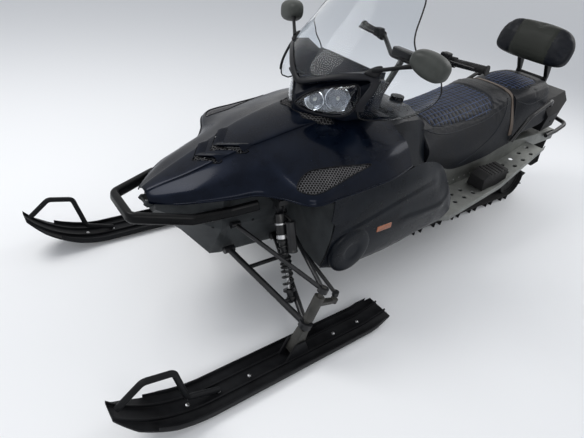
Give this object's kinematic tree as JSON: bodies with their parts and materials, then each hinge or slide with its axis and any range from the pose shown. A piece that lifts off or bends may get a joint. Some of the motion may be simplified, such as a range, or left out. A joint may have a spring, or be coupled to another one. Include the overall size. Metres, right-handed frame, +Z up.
{
  "type": "snowmobile",
  "caption": "Touring snowmobile with an opening hood, steered skis, a lugged rubber track under a sheet tunnel, a clear windshield and a long seat with a backrest.",
  "frame": {"origin": "on the ground, under the middle of the machine's length and width", "axes": "+X forward towards the ski tips, +Y to the rider's left, +Z up"},
  "size_m": [3.22, 1.24, 1.356],
  "materials": {
    "track_rubber": "matte",
    "slider_plastic": "satin",
    "wheel_rubber": "matte",
    "drive_plastic": "matte",
    "black_tube": "satin",
    "arm_paint": "semi-gloss",
    "spring_steel": "gloss",
    "tunnel_aluminium": "brushed",
    "ribbed_rubber": "matte",
    "pan_plastic": "matte",
    "panel_plastic": "satin",
    "black_plastic": "satin",
    "reflector_amber": "gloss",
    "tail_red": "gloss",
    "engine_metal": "cast",
    "seat_vinyl": "grained",
    "hood_paint": "gloss",
    "headlight_lens": "clear",
    "windshield_clear": "clear",
    "mirror_shell": "gloss",
    "ski_plastic": "satin",
    "spindle_cast": "cast",
    "runner_steel": "worn"
  },
  "bodies": {
    "chassis": {"track": "track_rubber", "slide_rails": "slider_plastic", "idler_wheels": "wheel_rubber", "drive_axle": "drive_plastic", "suspension_arms": "black_tube", "rear_dampers": "spring_steel", "tunnel": "tunnel_aluminium", "running_board_left": "tunnel_aluminium", "running_board_right": "tunnel_aluminium", "passenger_footrests": "ribbed_rubber", "snow_flap": "ribbed_rubber", "rear_bumper": "black_tube", "belly_pan": "pan_plastic", "side_panel_left": "panel_plastic", "side_panel_right": "panel_plastic", "side_reflectors": "reflector_amber", "front_bumper": "black_plastic", "front_frame": "black_tube", "engine_block": "engine_metal", "tank_cowl": "panel_plastic", "fuel_cap": "black_plastic", "driver_seat": "seat_vinyl", "passenger_seat": "seat_vinyl", "backrest_pad": "seat_vinyl", "backrest_bracket": "black_tube", "grab_rails": "black_plastic", "tail_cowl": "black_plastic", "tail_light": "tail_red", "lower_arms": "arm_paint", "upper_arms": "arm_paint", "ski_shocks": "spring_steel"},
    "hood_group": {"hood": "hood_paint", "vent_screens": "black_plastic", "lamp_pod": "panel_plastic", "headlights": "headlight_lens", "instrument_panel": "black_plastic", "windshield": "windshield_clear", "mirrors": "mirror_shell"},
    "steering_column": {"steering_post": "black_tube", "handlebar": "black_tube", "grips": "ribbed_rubber", "hand_levers": "black_plastic"},
    "tie_rod_link": {"tie_rods": "black_tube"},
    "ski_group_left": {"spindle_left": "spindle_cast", "ski_left": "ski_plastic", "wear_bar_left": "runner_steel", "ski_loop_left": "ski_plastic"},
    "ski_group_right": {"spindle_right": "spindle_cast", "ski_right": "ski_plastic", "wear_bar_right": "runner_steel", "ski_loop_right": "ski_plastic"}
  },
  "joints": [
    {"name": "steer", "type": "hinge", "parent": "chassis", "child": "steering_column", "pos_m": [0.05, 0, 0.985], "axis": [-0.5, 0, 0.866], "range_deg": [-35, 35]},
    {"name": "ski_left_turn", "type": "hinge", "parent": "chassis", "child": "ski_group_left", "pos_m": [0.912, 0.545, 0.084], "axis": [-0.309, 0, 0.9511], "range_deg": [-30, 30]},
    {"name": "ski_right_turn", "type": "hinge", "parent": "chassis", "child": "ski_group_right", "pos_m": [0.912, -0.545, 0.084], "axis": [-0.309, 0, 0.9511], "range_deg": [-30, 30]},
    {"name": "tie_rod_slide", "type": "slide", "parent": "chassis", "child": "tie_rod_link", "axis": [0, 1, 0], "range_m": [-0.052, 0.052]},
    {"name": "hood_open", "type": "hinge", "parent": "chassis", "child": "hood_group", "pos_m": [1.29, 0, 0.52], "axis": [0, 1, 0], "range_deg": [0, 60]}
  ],
  "couplings": [
    {"joint": "ski_left_turn", "follows": "steer", "ratio": 0.85},
    {"joint": "ski_right_turn", "follows": "steer", "ratio": 0.85},
    {"joint": "tie_rod_slide", "follows": "steer", "m_per_rad": -0.083}
  ]
}
